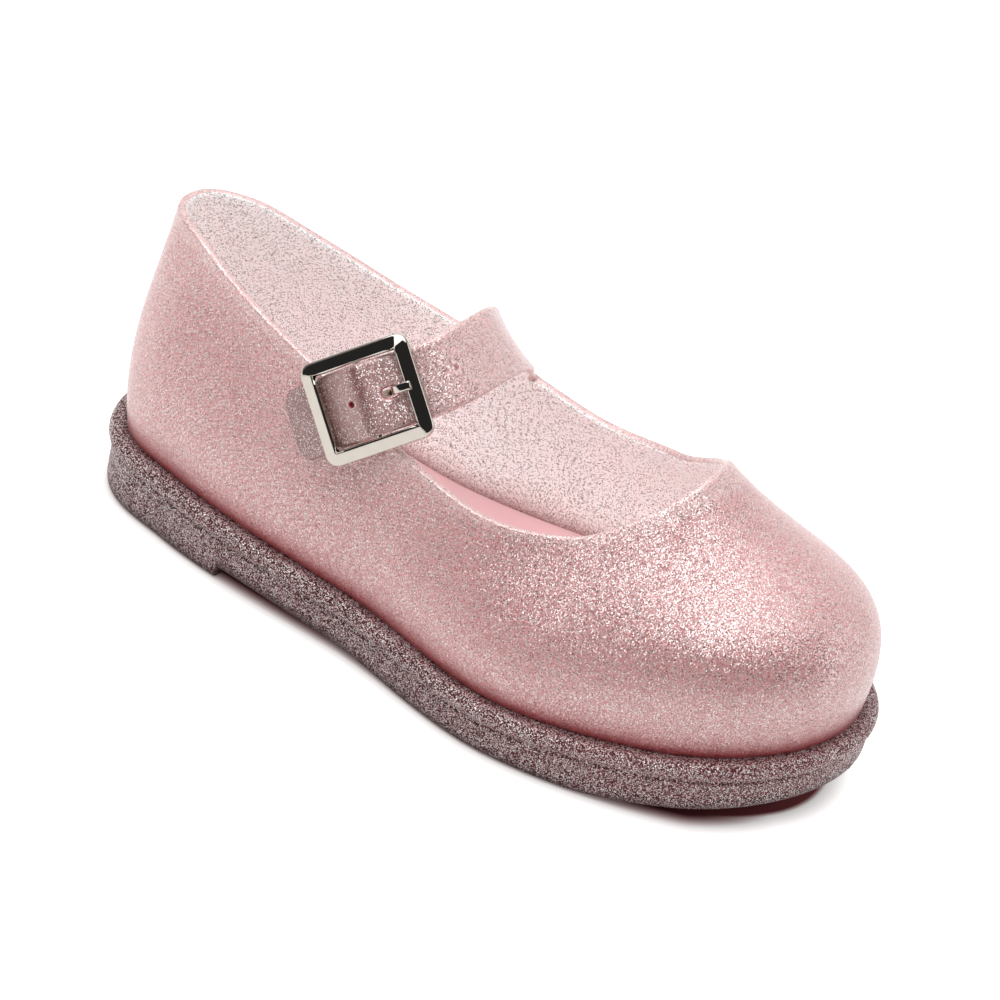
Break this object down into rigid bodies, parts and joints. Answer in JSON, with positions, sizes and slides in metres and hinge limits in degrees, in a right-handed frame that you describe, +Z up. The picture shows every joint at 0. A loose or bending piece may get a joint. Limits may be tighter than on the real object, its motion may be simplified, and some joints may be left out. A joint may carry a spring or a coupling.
{
  "type": "child's jelly shoe",
  "caption": "Closed-toe child's jelly shoe for the right foot: glitter PVC upper with a buckled instep strap, on a thick moulded sole with a low heel.",
  "frame": {"origin": "on the floor, under the middle of the sole's length and width", "axes": "+X towards the toe, +Y towards the medial (inner) side, +Z up"},
  "size_m": [0.175, 0.0732, 0.0688],
  "materials": {
    "sole_glitter_pvc": "thick moulded translucent PVC with fine silver glitter, seen dark through its depth",
    "upper_glitter_pvc": "thin moulded translucent pink PVC with fine silver glitter, glossy",
    "insole_pvc": "smooth plain pink PVC, satin",
    "polished_nickel": "polished nickel plate on cast zinc"
  },
  "bodies": {
    "root": {"outsole": "sole_glitter_pvc", "insole": "insole_pvc", "upper": "upper_glitter_pvc", "buckle_frame": "polished_nickel", "buckle_prong": "polished_nickel"}
  },
  "joints": []
}
